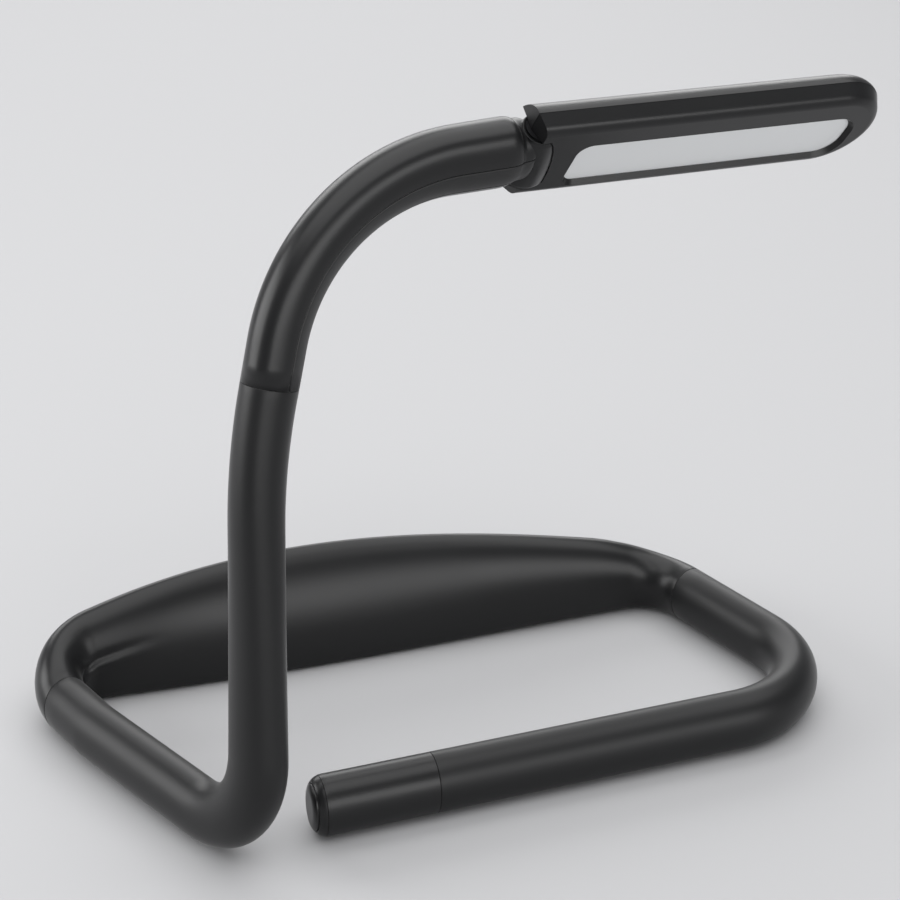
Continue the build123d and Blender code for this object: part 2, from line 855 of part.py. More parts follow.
with BuildPart() as button_ring:
    add(tail_form(ring_start + groove_gap / 2, ring_end))
    with BuildSketch(tail_slice(0)):
        Ellipse(half_high - ring_inset, half_wide - ring_inset)
    extrude(amount=cap_length, mode=Mode.SUBTRACT)
button_ring.part.label = "button_ring"
export_step(button_ring.part, "parts/button_ring.step")

# Push button, with its stem through the cap's end wall and a collar that keeps it in
button_back = ring_start + groove_gap + button_travel + button_gap
collar_front = inner_end - button_gap
stem_end = collar_front - collar_thick - button_travel
with BuildPart() as power_button:
    with BuildSketch(tail_slice(button_back)):
        Ellipse(half_high - ring_inset - button_gap, half_wide - ring_inset - button_gap)
    extrude(amount=cap_length - button_back)
    add(tail_form(button_back, cap_length), mode=Mode.INTERSECT)
    with BuildSketch(tail_slice(stem_end)):
        Circle(stem_diameter / 2)
    extrude(amount=button_back - stem_end)
    with BuildSketch(tail_slice(collar_front)):
        Circle(collar_diameter / 2)
    extrude(amount=-collar_thick)
power_button.part.label = "power_button"
export_step(power_button.part, "parts/power_button.step")

# Switch behind the button, on the charging board with the charging socket
switch_face = stem_end - button_travel - button_gap
with BuildPart() as switch_plunger:
    with BuildSketch(tail_slice(stem_end)):
        Circle(plunger_diameter / 2)
    extrude(amount=-plunger_length)
switch_plunger.part.label = "switch_plunger"
export_step(switch_plunger.part, "parts/switch_plunger.step")

with BuildPart() as button_switch:
    with BuildSketch(tail_slice(switch_face)):
        Rectangle(switch_high, switch_wide)
    extrude(amount=-switch_deep)
    with BuildSketch(tail_slice(switch_face)):
        Circle(plunger_diameter / 2 + pin_play)
    extrude(amount=-(plunger_length + button_gap - switch_deep / 10), mode=Mode.SUBTRACT)
button_switch.part.label = "button_switch"
export_step(button_switch.part, "parts/button_switch.step")

board_end = switch_face - switch_deep / 4
with BuildPart() as charge_board:
    with BuildSketch(tail_slice(board_end)):
        with Locations((board_top - charge_board_thick / 2, 0)):
            Rectangle(charge_board_thick, charge_board_width)
    extrude(amount=-(cap_length - charge_board_room))
charge_board.part.label = "charge_board"
export_step(charge_board.part, "parts/charge_board.step")

with BuildPart() as charge_socket:
    with BuildSketch(port_plane.offset(port_mouth)):
        with Locations((0, -port_centre)):
            RectangleRounded(port_width, port_height, port_height / 2 - 0.05)
    extrude(amount=-port_depth)
    with BuildSketch(port_plane.offset(port_mouth)):
        with Locations((0, -port_centre)):
            RectangleRounded(port_width - 2 * port_wall, port_height - 2 * port_wall, port_height / 2 - port_wall - 0.05)
    extrude(amount=port_wall - port_depth, mode=Mode.SUBTRACT)
    with BuildSketch(port_plane.offset(port_mouth - port_tongue_back)):
        with Locations((0, -port_centre)):
            Rectangle(port_tongue_width, port_tongue_thick)
    extrude(amount=port_tongue_back - port_depth)
charge_socket.part.label = "charge_socket"
export_step(charge_socket.part, "parts/charge_socket.step")
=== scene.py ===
from math import acos, asin, cos, exp, pi, radians, sin, sqrt, tan
import bpy
import bmesh
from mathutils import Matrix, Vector


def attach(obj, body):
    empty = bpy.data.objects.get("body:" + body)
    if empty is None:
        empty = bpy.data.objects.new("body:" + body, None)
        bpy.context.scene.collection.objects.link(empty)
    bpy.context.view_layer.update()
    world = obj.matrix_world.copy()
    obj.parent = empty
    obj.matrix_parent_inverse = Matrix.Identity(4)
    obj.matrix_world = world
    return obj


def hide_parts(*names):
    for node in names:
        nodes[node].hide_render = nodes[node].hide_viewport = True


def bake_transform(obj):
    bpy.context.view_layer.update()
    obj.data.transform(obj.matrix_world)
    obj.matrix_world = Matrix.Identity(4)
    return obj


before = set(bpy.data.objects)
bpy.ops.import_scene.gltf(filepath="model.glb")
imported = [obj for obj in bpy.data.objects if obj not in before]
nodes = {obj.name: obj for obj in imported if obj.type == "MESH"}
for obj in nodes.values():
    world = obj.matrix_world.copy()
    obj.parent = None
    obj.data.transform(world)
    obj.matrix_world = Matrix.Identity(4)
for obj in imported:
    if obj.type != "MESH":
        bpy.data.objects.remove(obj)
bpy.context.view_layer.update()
mm = 0.001
up = Vector((0, 0, 1))
print("frame loaded:", len(nodes), "nodes")

# The view of the photograph, worked out from the object's own outline
viewSettings = {
    "place": (-0.1964, -0.5450, 0.34463),
    "lookDown": 24.205,
    "heading": 20.844,
    "lens": 88.644,
    "sensor": 36,
}


def addCamera():
    data = bpy.data.cameras.new("viewCamera")
    data.sensor_width = viewSettings["sensor"]
    data.sensor_fit = "HORIZONTAL"
    data.lens = viewSettings["lens"]
    camera = bpy.data.objects.new("viewCamera", data)
    camera.location = viewSettings["place"]
    tilt = radians(90 - viewSettings["lookDown"])
    camera.rotation_euler = (tilt, 0, radians(-viewSettings["heading"]))
    bpy.context.scene.collection.objects.link(camera)
    bpy.context.scene.camera = camera


addCamera()

# What every moulded or machined surface shares
grainShape = {
    "grainDetail": 3.0,
    "grainRoughness": 0.6,
    "cloudScale": 38.0,
    "cloudDetail": 4.0,
    "bumpDistance": 0.0002,
    "sheenRoughness": 0.3,
}


# The node group that every finish uses
def newGroup(name, inputs, outputs):
    group = bpy.data.node_groups.new(name, "ShaderNodeTree")
    for label, kind, value in inputs:
        socket = group.interface.new_socket(name=label, in_out="INPUT", socket_type=kind)
        socket.default_value = value
    for label, kind in outputs:
        group.interface.new_socket(name=label, in_out="OUTPUT", socket_type=kind)
    groupIn = group.nodes.new("NodeGroupInput")
    groupOut = group.nodes.new("NodeGroupOutput")
    return group, groupIn, groupOut


def buildMouldedGrain():  # fine moulded texture: a height, a roughness and a slightly uneven colour
    group, groupIn, groupOut = newGroup(
        "mouldedGrain",
        [
            ("Colour", "NodeSocketColor", (0.02, 0.02, 0.02, 1)),
            ("Grain size", "NodeSocketFloat", 900.0),
            ("Roughness", "NodeSocketFloat", 0.45),
            ("Roughness spread", "NodeSocketFloat", 0.08),
            ("Colour spread", "NodeSocketFloat", 0.15),
        ],
        [("Colour", "NodeSocketColor"), ("Roughness", "NodeSocketFloat"), ("Height", "NodeSocketFloat")],
    )
    tree, links = group.nodes, group.links
    coords = tree.new("ShaderNodeTexCoord")
    grain = tree.new("ShaderNodeTexNoise")
    grain.inputs["Detail"].default_value = grainShape["grainDetail"]
    grain.inputs["Roughness"].default_value = grainShape["grainRoughness"]
    links.new(coords.outputs["Object"], grain.inputs["Vector"])
    links.new(groupIn.outputs["Grain size"], grain.inputs["Scale"])
    cloud = tree.new("ShaderNodeTexNoise")
    cloud.inputs["Scale"].default_value = grainShape["cloudScale"]
    cloud.inputs["Detail"].default_value = grainShape["cloudDetail"]
    links.new(coords.outputs["Object"], cloud.inputs["Vector"])
    centred = tree.new("ShaderNodeMath")
    centred.operation = "SUBTRACT"
    centred.inputs[1].default_value = 0.5
    links.new(cloud.outputs["Fac"], centred.inputs[0])
    roughStep = tree.new("ShaderNodeMath")
    roughStep.operation = "MULTIPLY_ADD"
    links.new(centred.outputs[0], roughStep.inputs[0])
    links.new(groupIn.outputs["Roughness spread"], roughStep.inputs[1])
    links.new(groupIn.outputs["Roughness"], roughStep.inputs[2])
    shade = tree.new("ShaderNodeMath")
    shade.operation = "MULTIPLY_ADD"
    shade.inputs[2].default_value = 1.0
    links.new(centred.outputs[0], shade.inputs[0])
    links.new(groupIn.outputs["Colour spread"], shade.inputs[1])
    tint = tree.new("ShaderNodeVectorMath")
    tint.operation = "SCALE"
    links.new(groupIn.outputs["Colour"], tint.inputs[0])
    links.new(shade.outputs[0], tint.inputs["Scale"])
    links.new(tint.outputs["Vector"], groupOut.inputs["Colour"])
    links.new(roughStep.outputs[0], groupOut.inputs["Roughness"])
    links.new(grain.outputs["Fac"], groupOut.inputs["Height"])
    return group


grainGroup = buildMouldedGrain()

# Each finish: colour, grain size, roughness and its spread, unevenness of tone, bump, gloss and sheen
finishes = {
    "satinSilicone": dict(
        colour=(0.0058, 0.0059, 0.0063), grain=1400, rough=0.43, spread=0.08, tone=0.25, bump=0.06,
        gloss=0.3, sheen=0.16,
    ),
    "bandSilicone": dict(
        colour=(0.0050, 0.0051, 0.0055), grain=1400, rough=0.34, spread=0.06, tone=0.2, bump=0.04,
        gloss=0.32, sheen=0.12,
    ),
    "satinShell": dict(
        colour=(0.0065, 0.0066, 0.007), grain=2600, rough=0.33, spread=0.05, tone=0.12, bump=0.04,
        gloss=0.32, sheen=0.08,
    ),
    "matteStrip": dict(
        colour=(0.010, 0.0101, 0.0105), grain=1700, rough=0.46, spread=0.1, tone=0.3, bump=0.12, gloss=0.4
    ),
    "satinButton": dict(
        colour=(0.0075, 0.0076, 0.008), grain=2600, rough=0.3, spread=0.05, tone=0.10, bump=0.03,
        gloss=0.35, sheen=0.06,
    ),
    "innerCase": dict(
        colour=(0.06, 0.06, 0.062), grain=1500, rough=0.55, spread=0.08, tone=0.2, bump=0.05
    ),
    "solderMask": dict(
        colour=(0.01, 0.09, 0.035), grain=1200, rough=0.35, spread=0.08, tone=0.3, bump=0.03
    ),
    "opalCover": dict(
        colour=(0.60, 0.61, 0.615), grain=1500, rough=0.45, spread=0.04, tone=0.03, bump=0.02
    ),
    "clearGuide": dict(
        colour=(0.8, 0.82, 0.84), grain=900, rough=0.12, spread=0.03, tone=0.02, bump=0.01
    ),
    "lampPhosphor": dict(
        colour=(0.8, 0.6, 0.15), grain=2500, rough=0.4, spread=0.05, tone=0.1, bump=0.05
    ),
}
metals = {
    "turnedSteel": dict(colour=(0.55, 0.55, 0.57), rough=0.3, grain=900),
    "woundSteel": dict(colour=(0.35, 0.35, 0.37), rough=0.35, grain=900),
    "blackSteel": dict(colour=(0.03, 0.03, 0.032), rough=0.45, grain=900),
    "turnedBrass": dict(colour=(0.6, 0.45, 0.2), rough=0.3, grain=900),
    "foilPouch": dict(colour=(0.7, 0.71, 0.73), rough=0.35, grain=500),
}
metalSurface = dict(spread=0.1, tone=0.1, bump=0.05)
# Painted glow: a faint emission that brightens the opal cover, standing in for light, since the LEDs give
# none
opalPaintedGlow = {"colour": (0.95, 0.97, 1.0), "strength": 0.02}


def shaderOf(material):
    return material.node_tree.nodes["Principled BSDF"]


def addFinish(name, values):
    material = bpy.data.materials.new(name)
    material.use_nodes = True
    tree, links = material.node_tree.nodes, material.node_tree.links
    shader = shaderOf(material)
    grain = tree.new("ShaderNodeGroup")
    grain.node_tree = grainGroup
    grain.inputs["Colour"].default_value = (*values["colour"], 1)
    grain.inputs["Grain size"].default_value = values["grain"]
    grain.inputs["Roughness"].default_value = values["rough"]
    grain.inputs["Roughness spread"].default_value = values["spread"]
    grain.inputs["Colour spread"].default_value = values["tone"]
    bump = tree.new("ShaderNodeBump")
    bump.inputs["Strength"].default_value = values["bump"]
    bump.inputs["Distance"].default_value = grainShape["bumpDistance"]
    links.new(grain.outputs["Colour"], shader.inputs["Base Color"])
    links.new(grain.outputs["Roughness"], shader.inputs["Roughness"])
    links.new(grain.outputs["Height"], bump.inputs["Height"])
    links.new(bump.outputs["Normal"], shader.inputs["Normal"])
    shader.inputs["Specular IOR Level"].default_value = values.get("gloss", 0.5)
    shader.inputs["Sheen Weight"].default_value = values.get("sheen", 0.0)
    shader.inputs["Sheen Roughness"].default_value = grainShape["sheenRoughness"]
    return material


def addMetal(name, values):
    material = addFinish(name, {**metalSurface, **values})
    shaderOf(material).inputs["Metallic"].default_value = 1.0
    return material


def addPaintedGlow(material):  # painted glow: the opal cover gets a faint emission of its own, though no lamp inside the head is lit
    shader = shaderOf(material)
    shader.inputs["Emission Color"].default_value = (*opalPaintedGlow["colour"], 1)
    shader.inputs["Emission Strength"].default_value = opalPaintedGlow["strength"]


materials = {name: addFinish(name, values) for name, values in finishes.items()}
for name, values in metals.items():
    materials[name] = addMetal(name, values)
addPaintedGlow(materials["opalCover"])

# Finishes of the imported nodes, also of those that a piece made below stands for
nodeFinishes = {
    "innerCase": [
        "band_front_case", "band_back_case", "arm_plug", "tail_plug", "button_switch", "switch_plunger",
    ],
    "foilPouch": ["battery_cell"],
    "solderMask": ["control_board", "led_board", "charge_board"],
    "turnedSteel": [
        "left_end_ferrule", "right_end_ferrule", "hinge_pin", "head_screws", "charge_socket",
    ],
    "turnedBrass": ["hinge_bush"],
    "blackSteel": ["hinge_washers"],
    "satinShell": [
        "arm_outer_shell", "arm_inner_cover", "head_back_cover", "head_bezel", "tail_cap", "button_ring",
    ],
    "satinButton": ["power_button"],
    "opalCover": ["light_diffuser"],
    "clearGuide": ["light_guide"],
    "lampPhosphor": ["leds"],
    "satinSilicone": ["band_skin", "lamp_arm_sleeve", "tail_arm_sleeve"],
    "woundSteel": ["lamp_arm_core", "tail_arm_core"],
}
for finish, names in nodeFinishes.items():
    for name in names:
        slots = nodes[name].data.materials
        slots.clear()
        slots.append(materials[finish])
print("materials made:", len(materials))

# Steps from one station to the next on straight runs, and the least number of them in a bend
lineShape = {"runStride": 3, "leastInBend": 4}


# Lines through rounded corners in millimetres, as stations of place and direction, closer in the bends
def roundedLine(corners, radii, step):
    corners = [Vector(corner) * mm for corner in corners]
    step = step * mm
    pieces = []
    here = corners[0]
    for index, radius in enumerate(radii):
        wayIn = (corners[index + 1] - corners[index]).normalized()
        wayOut = (corners[index + 2] - corners[index + 1]).normalized()
        turn = acos(max(-1.0, min(1.0, wayIn.dot(wayOut))))
        reach = radius * mm * tan(turn / 2)
        start = corners[index + 1] - wayIn * reach
        inward = (wayOut - wayIn * cos(turn)).normalized()
        pieces.append(("run", here, start))
        pieces.append(("bend", start, wayIn, inward, radius * mm, turn))
        here = corners[index + 1] + wayOut * reach
    pieces.append(("run", here, corners[-1]))
    stations = []
    for piece in pieces:
        if piece[0] == "run":
            first, last = piece[1:]
            way = (last - first).normalized()
            count = max(1, round((last - first).length / (lineShape["runStride"] * step)))
            stations += [(first.lerp(last, index / count), way) for index in range(count)]
        else:
            start, wayIn, inward, radius, turn = piece[1:]
            count = max(lineShape["leastInBend"], round(radius * turn / step))
            for index in range(count):
                angle = turn * index / count
                place = start + wayIn * radius * sin(angle) + inward * radius * (1 - cos(angle))
                stations.append((place, wayIn * cos(angle) + inward * sin(angle)))
    stations.append((corners[-1], (corners[-1] - corners[-2]).normalized()))
    return stations


def alongLine(stations):  # distance of each station from the first
    total = [0.0]
    for (first, _), (second, _) in zip(stations, stations[1:]):
        total.append(total[-1] + (second - first).length)
    return total


def squareTo(direction, along):
    return (direction - along * direction.dot(along)).normalized()


def ovalRing(centre, longWay, shortWay, longHalf, shortHalf, count):
    ring = []
    for index in range(count):
        angle = 2 * pi * index / count
        ring.append(centre + longWay * longHalf * cos(angle) + shortWay * shortHalf * sin(angle))
    return ring


def addSkin(shape, rings, looped=False):
    # Faces between neighbouring rings, and either a cap at each end or a loop back to the first ring
    rows = [[shape.verts.new(point) for point in ring] for ring in rings]
    size = len(rows[0])
    pairs = list(zip(rows, rows[1:]))
    if looped:
        pairs.append((rows[-1], rows[0]))
    for lower, upper in pairs:
        for index in range(size):
            after = (index + 1) % size
            shape.faces.new((lower[index], lower[after], upper[after], upper[index]))
    if not looped:
        shape.faces.new(list(reversed(rows[0])))
        shape.faces.new(rows[-1])


def skinMesh(name, rings, body, finish, looped=None):
    mesh = bpy.data.meshes.new(name)
    shape = bmesh.new()
    addSkin(shape, rings)
    if looped:
        addSkin(shape, looped, True)
    bmesh.ops.recalc_face_normals(shape, faces=shape.faces)
    for face in shape.faces:
        face.smooth = True
    shape.to_mesh(mesh)
    shape.free()
    piece = bpy.data.objects.new(name, mesh)
    bpy.context.scene.collection.objects.link(piece)
    mesh.materials.append(materials[finish])
    if body:  # a piece that bends between two bodies is left unattached here
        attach(piece, body)
    return piece


# Soft tube and its core, repeated from the model's own sizes, in millimetres
tubeShape = {
    "high": 18.0,
    "wide": 14.6,
    "endRound": 0.22,
    "seamGap": 0.12,
    "bandGap": 0.05,
    "rimSteps": 4,
    "rimClear": 1.5,
    "ringPoints": 56,
    "step": 2.0,
}
coreShape = {"radius": 3.4, "ringPoints": 24}
loopLine = {
    "leftSeam": (-101.0, 22.2, 9.0),
    "leftBend": (-96.2, 4.4, 9.0),
    "leftBendRadius": 30.0,
    "foot": (-69.2, -69.5, 9.0),
    "footRadius": 24.8,
    "rightSeam": (101.0, 19.4, 9.0),
    "rightCorner": (118.8, -55.4, 9.0),
    "rightCornerRadius": 31.3,
    "tailSeam": (-15.3, -55.4, 9.0),
}
# levelBelow and uprightAbove are the climb of the line's direction, from 0 along the table to 1 upright
riserLine = {
    "point": (-62.5, -57.1, 114.9),
    "radius": 170.0,
    "over": 20.0,
    "levelBelow": 0.02,
    "uprightAbove": 0.98,
}
armLine = {
    "point": (-44.3, -46.3, 182.0),
    "radius": 53.5,
    "hinge": (17.8, -39.4, 182.5),
    "roll": 41.9,
    "endWidth": 23.0,
}

armBaseWay = (Vector(armLine["point"]) - Vector(riserLine["point"])).normalized()
armEndWay = (Vector(armLine["hinge"]) - Vector(armLine["point"])).normalized()
armSeam = Vector(riserLine["point"]) + armBaseWay * riserLine["over"]
armSide = armEndWay.cross(armBaseWay).normalized()


def armDown(tangent):  # the way that the arm's inner cover faces
    hollowWay = tangent.cross(armSide).normalized()
    return hollowWay * cos(radians(armLine["roll"])) + armSide * sin(radians(armLine["roll"]))


def roundedEnds(sections, endRound, count):
    # Draws the first and last rings in, so that each end of a soft tube has a rounded rim
    steps = tubeShape["rimSteps"]
    ends = []
    for side in (0, -1):
        centre, way, longWay, shortWay, longHalf, shortHalf = sections[side]
        inward = way if side == 0 else -way
        end = []
        for index in range(steps + 1):
            angle = pi / 2 * index / steps
            drawn = endRound * (1 - sin(angle))
            place = centre + inward * endRound * (1 - cos(angle))
            end.append((place, way, longWay, shortWay, longHalf - drawn, shortHalf - drawn))
        ends.append(end)
    front, back = ends
    start, stop = sections[0][0], sections[-1][0]
    clear = endRound * tubeShape["rimClear"]
    middle = [
        section for section in sections[1:-1]
        if (section[0] - start).length > clear and (section[0] - stop).length > clear
    ]
    return [
        ovalRing(place, longWay, shortWay, longHalf, shortHalf, count)
        for place, _, longWay, shortWay, longHalf, shortHalf in front + middle + list(reversed(back))
    ]


def lampSleeveSections(longHalf, shortHalf):
    stations = roundedLine(
        [loopLine["leftSeam"], loopLine["leftBend"], loopLine["foot"], riserLine["point"], tuple(armSeam)],
        [loopLine["leftBendRadius"], loopLine["footRadius"], riserLine["radius"]],
        tubeShape["step"],
    )
    runWay = (Vector(loopLine["foot"]) - Vector(loopLine["leftBend"])).normalized()
    footSide = runWay.cross(up).normalized()
    seamAcross = -armDown(armBaseWay).cross(armBaseWay)
    lengths = alongLine(stations)
    riserFrom = next(
        length for (_, way), length in zip(stations, lengths) if way.z > riserLine["uprightAbove"]
    )
    sections = []
    for (place, way), length in zip(stations, lengths):
        climb = (length - riserFrom) / (lengths[-1] - riserFrom)
        longWay = up if way.z < riserLine["levelBelow"] else footSide.cross(way)
        if climb > 0:
            longWay = longWay * (1 - climb) + seamAcross * climb
        longWay = squareTo(longWay, way)
        sections.append((place, way, longWay, way.cross(longWay), longHalf, shortHalf))
    return sections


def tailSleeveSections(longHalf, shortHalf):
    stations = roundedLine(
        [loopLine["rightSeam"], loopLine["rightCorner"], loopLine["tailSeam"]],
        [loopLine["rightCornerRadius"]],
        tubeShape["step"],
    )
    return [(place, way, up, way.cross(up), longHalf, shortHalf) for place, way in stations]


def shortened(sections, atStart, atEnd):
    # Moves the end stations inward, so that a thin gap stays beside the neighbour
    first, last = list(sections[0]), list(sections[-1])
    first[0] = first[0] + first[1] * atStart
    last[0] = last[0] - last[1] * atEnd
    return [tuple(first)] + sections[1:-1] + [tuple(last)]


tubeLong = tubeShape["high"] / 2 * mm
tubeShort = tubeShape["wide"] / 2 * mm
endRim = tubeShape["endRound"] * mm


def tubeRings(sections):
    gapped = shortened(sections, tubeShape["bandGap"] * mm, tubeShape["seamGap"] * mm)
    return roundedEnds(gapped, endRim, tubeShape["ringPoints"])


lampSleeve = skinMesh(
    "lampArmTube", tubeRings(lampSleeveSections(tubeLong, tubeShort)), None, "satinSilicone"
)
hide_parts("lamp_arm_sleeve")
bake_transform(lampSleeve)

tailSleeve = skinMesh(
    "tailArmTube", tubeRings(tailSleeveSections(tubeLong, tubeShort)), None, "satinSilicone"
)
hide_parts("tail_arm_sleeve")
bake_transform(tailSleeve)


def addCore(name, sections, node):
    # The bendable core, a wound steel hose inside the soft tube
    rings = [
        ovalRing(place, longWay, shortWay, half, half, coreShape["ringPoints"])
        for place, _, longWay, shortWay, half, _ in sections
    ]
    piece = skinMesh(name, rings, None, "woundSteel")
    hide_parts(node)
    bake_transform(piece)


coreHalf = coreShape["radius"] * mm
addCore(
    "lampArmCore", lampSleeveSections(coreHalf, coreHalf), "lamp_arm_core",
)
addCore(
    "tailArmCore", tailSleeveSections(coreHalf, coreHalf), "tail_arm_core",
)
print("flexible arms made")

# Rigid arm: a hollow shell with a channel along its inner side, and the cover strip that lies in it.
# Lengths before the hinge and half sizes across, in millimetres
armShape = {
    "step": 1.5,
    "farFrom": 10.5,
    "nearFrom": 10.0,
    "endSteps": 8,
    "domeHalf": 8.3,
    "faceHalf": 7.6,
    "tongueHalf": 8.7,
    "shoulderStart": 9.5,
    "shoulderEnd": 5.9,
    "noseStart": 3.6,
    "noseEnd": 1.9,
    "noseDrop": 1.9,
    "noseFace": 6.9,
    "noseFaceDrop": 0.9,
    "wall": 1.7,
    "hollowEnd": 0.86,
    "roundPoints": 84,
    "channelHalf": 4.16,
    "channelDepth": 1.3,
    "channelWall": 0.01,
    "stripHalf": 3.84,
    "stripThick": 1.1,
    "stripStop": 3,
    "edgeRound": 0.28,
    "edgeMarks": (0.7, 0.28, 0.2, 0.1, 0.03, 0.0),
    "lipReach": 1.4,
    "barrelHalf": 8.7,
    "barrelRadii": (6.9, 6.4, 4.9),
    "barrelBore": 2.56,
    "barrelEdge": 0.4,
    "barrelEdgeParts": (0.12, 0.35, 0.7),
    "barrelSteps": 24,
    "barrelPoints": 72,
}


def blended(share):
    share = min(max(share, 0.0), 1.0)
    return share * share * (3 - 2 * share)


def quarterRound(part):  # falls from 1 to 0 like a quarter circle
    return sqrt(max(0.0, 1 - min(max(part, 0.0), 1.0) ** 2))


def armSizes(left, share):
    # Half sizes at a distance left before the hinge: across, on the domed side and on the cover's side
    growth = blended(share)
    tubeHighHalf, tubeWideHalf = tubeShape["high"] / 2, tubeShape["wide"] / 2
    wide = tubeHighHalf + (armLine["endWidth"] / 2 - tubeHighHalf) * growth
    dome = tubeWideHalf + (armShape["domeHalf"] - tubeWideHalf) * growth
    face = tubeWideHalf + (armShape["faceHalf"] - tubeWideHalf) * growth
    shoulderStart, noseStart, noseEnd = (armShape[key] for key in ("shoulderStart", "noseStart", "noseEnd"))
    shoulder = (shoulderStart - left) / (shoulderStart - armShape["shoulderEnd"])
    wide = armShape["tongueHalf"] + (wide - armShape["tongueHalf"]) * quarterRound(shoulder)
    face += (armShape["noseFace"] - face) * blended((shoulderStart - left) / (shoulderStart - noseEnd))
    nose = 1 - quarterRound((noseStart - left) / (noseStart - noseEnd))
    return wide, dome - armShape["noseDrop"] * nose, face - armShape["noseFaceDrop"] * nose


def armStations():
    corners = [tuple(armSeam), armLine["point"], armLine["hinge"]]
    stations = roundedLine(corners, [armLine["radius"]], armShape["step"])
    hinge = stations[-1][0]
    far = [station for station in stations if (station[0] - hinge).length > armShape["farFrom"] * mm]
    shoulderStart, shoulderEnd = armShape["shoulderStart"], armShape["shoulderEnd"]
    noseStart, noseEnd = armShape["noseStart"], armShape["noseEnd"]
    steps = armShape["endSteps"]
    drawn = [sin(pi / 2 * index / steps) for index in range(steps + 1)]
    near = [armShape["nearFrom"], shoulderStart]
    near += [shoulderStart + (shoulderEnd - shoulderStart) * share for share in drawn[1:]]
    near.append((shoulderEnd + noseStart) / 2)
    near += [noseStart + (noseEnd - noseStart) * share for share in drawn]
    return far + [(hinge - armEndWay * left * mm, armEndWay) for left in near]


def armSections():
    stations = armStations()
    lengths = alongLine(stations)
    total = lengths[-1] + armShape["noseEnd"] * mm
    sections = []
    for (place, way), length in zip(stations, lengths):
        down = armDown(way)
        sizes = armSizes((total - length) / mm, length / total)
        sections.append((place, down.cross(way).normalized(), down, *sizes))
    return sections


def roundedDrop(distance, edge):  # how far a rounded edge lies below its surface, at a distance from it
    if distance >= edge:
        return 0.0
    return edge - sqrt(max(0.0, edge**2 - (edge - distance) ** 2))


def mirrored(marks):  # places across the middle line, from one side to the other
    return [-mark for mark in marks] + [0.0] + list(reversed(marks))


def shellRing(section, inset):
    place, across, down, wide, dome, face = section
    half = armShape["channelHalf"]
    marks = [half + extra for extra in (armShape["lipReach"], *armShape["edgeMarks"])]
    lateral = mirrored(marks + [half - armShape["channelWall"], half / 2])
    angles = [asin(value / wide) for value in lateral]
    first, last = angles[-1], angles[0] + 2 * pi
    count = armShape["roundPoints"]
    angles += [first + (last - first) * index / count for index in range(1, count)]
    ring = []
    for index, angle in enumerate(angles):
        side = (wide - inset) * sin(angle)
        depth = ((face if cos(angle) > 0 else dome) - inset) * cos(angle)
        if inset == 0 and index < len(lateral):
            beyond = abs(lateral[index]) - half
            drop = roundedDrop(beyond, armShape["edgeRound"]) if beyond >= 0 else armShape["channelDepth"]
            depth -= drop
        ring.append(place + (across * side + down * depth) * mm)
    return ring


def stripRing(section):
    place, across, down, wide, _, face = section
    half = armShape["stripHalf"]
    lateral = mirrored([half - mark for mark in reversed(armShape["edgeMarks"])] + [half / 2])
    surface = [(value, face * sqrt(1 - (value / wide) ** 2)) for value in lateral]
    outer = [
        (value, depth - roundedDrop(half - abs(value), armShape["edgeRound"])) for value, depth in surface
    ]
    inner = [
        (value, depth - armShape["stripThick"]) for value, depth in reversed(surface)
        if abs(value) != half / 2
    ]
    return [place + (across * side + down * depth) * mm for side, depth in outer + inner]


def barrelRings():
    # Rings about the hinge axis: out along the barrel and back through its bore
    hinge = Vector(armLine["hinge"]) * mm
    down = armDown(armEndWay)
    axis = down.cross(armEndWay).normalized()
    half, edge = armShape["barrelHalf"], armShape["barrelEdge"]
    low, middle, high = armShape["barrelRadii"]
    steps, count = armShape["barrelSteps"], armShape["barrelPoints"]
    profile = []
    for index in range(steps + 1):
        place = -1 + 2 * index / steps
        radius = middle + (high - low) / 2 * place + ((high + low) / 2 - middle) * place**2
        profile.append((half * place, radius - roundedDrop(half * (1 - abs(place)), edge)))
    for part in armShape["barrelEdgeParts"]:
        slant = half - edge * (1 - sqrt(1 - (1 - part) ** 2))
        profile.append((-slant, low - edge * (1 - part)))
        profile.append((slant, high - edge * (1 - part)))
    profile.sort(key=lambda spot: spot[0])
    profile += [(half, armShape["barrelBore"]), (-half, armShape["barrelBore"])]
    rings = []
    for along, radius in profile:
        ring = []
        for index in range(count):
            angle = 2 * pi * index / count
            ring.append(hinge + (axis * along + (armEndWay * cos(angle) + down * sin(angle)) * radius) * mm)
        rings.append(ring)
    return rings


sections = armSections()
hollow = sections[: round(len(sections) * armShape["hollowEnd"])]
shellRings = [shellRing(section, armShape["wall"]) for section in reversed(hollow)]
shellRings += [shellRing(section, 0) for section in sections]
armShell = skinMesh("armShell", shellRings, "lamp_arm", "satinShell", barrelRings())
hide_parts("arm_outer_shell")
stripRings = [stripRing(section) for section in sections[: -armShape["stripStop"]]]
armStrip = skinMesh("armStrip", stripRings, "lamp_arm", "matteStrip")
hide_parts("arm_inner_cover")
print("rigid arm made")

# Neck band, in millimetres, degrees and shares of its length
bandShape = {
    "left": (-105.9, 40.6, 9.0),
    "leftRadius": 13.0,
    "right": (97.4, 34.5, 9.0),
    "rightRadius": 18.0,
    "rise": 20.5,
    "thin": 1.6,
    "lean": 15.0,
    "skew": 0.8,
    "tailFrom": 0.84,
    "tailDrop": 55.0,
    "step": 1.5,
    "ringPoints": 132,
    "creaseStart": 0.035,
    "creaseEnd": 0.20,
    "creaseHigh": 92.0,
    "creaseLow": 82.0,
    "creaseWidth": 5.0,
    "creaseDepth": 0.6,
    "creaseSkew": 0.6,
    "lipPart": 0.5,
    "lipWidths": 2.2,
}


